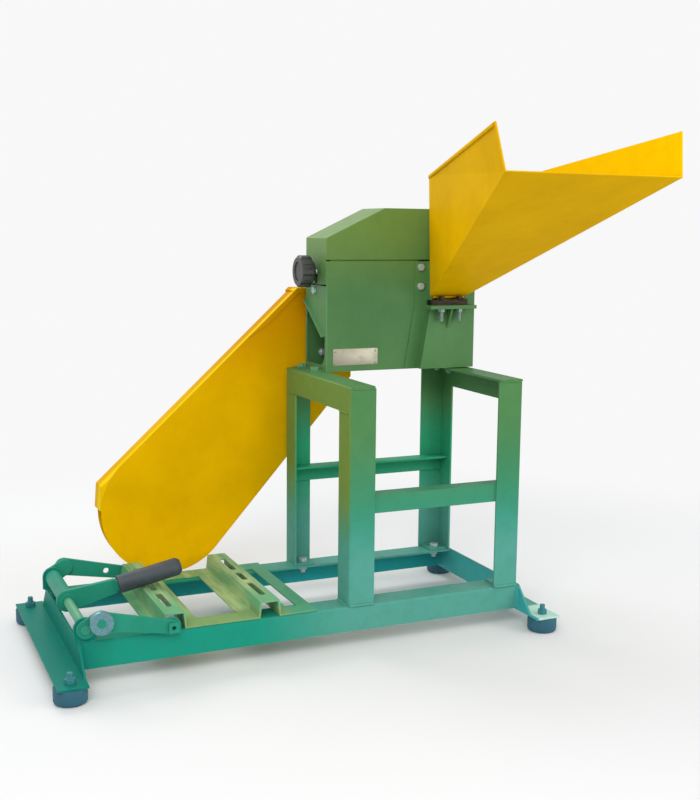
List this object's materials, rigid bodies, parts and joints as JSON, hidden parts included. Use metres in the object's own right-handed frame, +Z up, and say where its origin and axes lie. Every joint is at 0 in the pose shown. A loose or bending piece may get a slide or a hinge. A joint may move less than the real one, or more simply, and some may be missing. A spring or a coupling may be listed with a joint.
{
  "type": "chaff cutter",
  "caption": "Powered forage chopper on an angle-iron stand: flywheel cutter in a hinged casing, feed hopper, discharge chute and a lever-tensioned motor carriage",
  "frame": {"origin": "On the floor under the middle of the bounding box", "axes": "X runs right along the base rails, Y runs away from the feeding side, Z runs up"},
  "size_m": [0.9862, 0.7054, 0.8996],
  "materials": {
    "frame_paint": "satin green enamel",
    "casing_paint": "satin green enamel",
    "carriage_paint": "satin olive green enamel",
    "yellow_paint": "satin yellow enamel",
    "zinc_plate": "bright zinc plating",
    "tool_steel": "ground steel",
    "wheel_iron": "machined grey iron",
    "foot_rubber": "moulded black rubber",
    "grip_plastic": "soft dark grip",
    "knob_plastic": "moulded black knob"
  },
  "bodies": {
    "frame": {"front_rail": "frame_paint", "rear_rail": "frame_paint", "left_crossbar": "frame_paint", "right_crossbar": "frame_paint", "rubber_feet": "foot_rubber", "foot_bolts": "zinc_plate", "front_left_post": "frame_paint", "front_right_post": "frame_paint", "rear_left_post": "frame_paint", "rear_right_post": "frame_paint", "left_top_bar": "frame_paint", "right_top_bar": "frame_paint", "front_mid_rail": "frame_paint", "rear_mid_rail": "frame_paint", "post_bolts": "zinc_plate", "pivot_ears": "frame_paint", "casing_front_plate": "casing_paint", "casing_rear_plate": "casing_paint", "casing_wrap": "casing_paint", "casing_bolts": "zinc_plate", "latch_tab": "casing_paint", "knob_stud": "zinc_plate", "mouthpiece": "casing_paint", "mouthpiece_bolts": "zinc_plate", "blade_shelf": "casing_paint", "counter_blade": "tool_steel", "counter_blade_bolts": "zinc_plate", "hopper": "yellow_paint", "chute": "yellow_paint", "chute_bolts": "zinc_plate", "bearing_housing": "casing_paint", "bearings": "tool_steel", "bearing_cap": "zinc_plate", "housing_bolts": "zinc_plate", "hinge_fixed_leaf": "casing_paint", "hinge_pin": "zinc_plate"},
    "hood": {"hood": "casing_paint", "hinge_hood_leaf": "casing_paint"},
    "knob": {"knob": "knob_plastic"},
    "rotor": {"rotor_shaft": "tool_steel", "flywheel": "wheel_iron", "knives": "tool_steel", "knife_bolts": "zinc_plate", "paddles": "tool_steel", "rotor_key": "tool_steel", "rotor_nut": "zinc_plate", "inner_rings": "tool_steel"},
    "lever": {"lever_shaft": "zinc_plate", "lever_bar": "carriage_paint", "lever_grip": "grip_plastic", "crank_arms": "carriage_paint"},
    "links": {"front_link": "carriage_paint", "rear_link": "carriage_paint", "crank_pins": "carriage_paint", "shaft_collars": "zinc_plate"},
    "carriage": {"left_hat": "carriage_paint", "right_hat": "carriage_paint", "carriage_straps": "carriage_paint", "carriage_lugs": "carriage_paint", "lug_pins": "carriage_paint"}
  },
  "joints": [
    {"name": "rotor_spin", "type": "hinge", "parent": "frame", "child": "rotor", "pos_m": [0.22515, 0.2497, 0.6215], "axis": [0, 1, 0], "continuous": true},
    {"name": "hood_open", "type": "hinge", "parent": "frame", "child": "hood", "pos_m": [0.38565, 0.1977, 0.658], "axis": [0, 1, 0], "range_deg": [0, 110]},
    {"name": "knob_turn", "type": "hinge", "parent": "frame", "child": "knob", "pos_m": [0.05465, 0.1977, 0.658], "axis": [-1, 0, 0], "range_deg": [0, 360]},
    {"name": "lever_swing", "type": "hinge", "parent": "frame", "child": "lever", "pos_m": [-0.43215, 0.08905, 0.099], "axis": [0, -1, 0], "range_deg": [0, 165]},
    {"name": "carriage_slide", "type": "slide", "parent": "frame", "child": "carriage", "axis": [-1, 0, 0], "range_m": [0, 0.0457]},
    {"name": "link_swing", "type": "hinge", "parent": "carriage", "child": "links", "pos_m": [-0.29035, 0.08905, 0.087], "axis": [0, -1, 0], "range_deg": [0, 9.4]}
  ],
  "couplings": [
    {"joint": "carriage_slide", "follows": "lever_swing", "m_per_rad": 0.015843},
    {"joint": "link_swing", "follows": "lever_swing", "ratio": 0.05655}
  ]
}
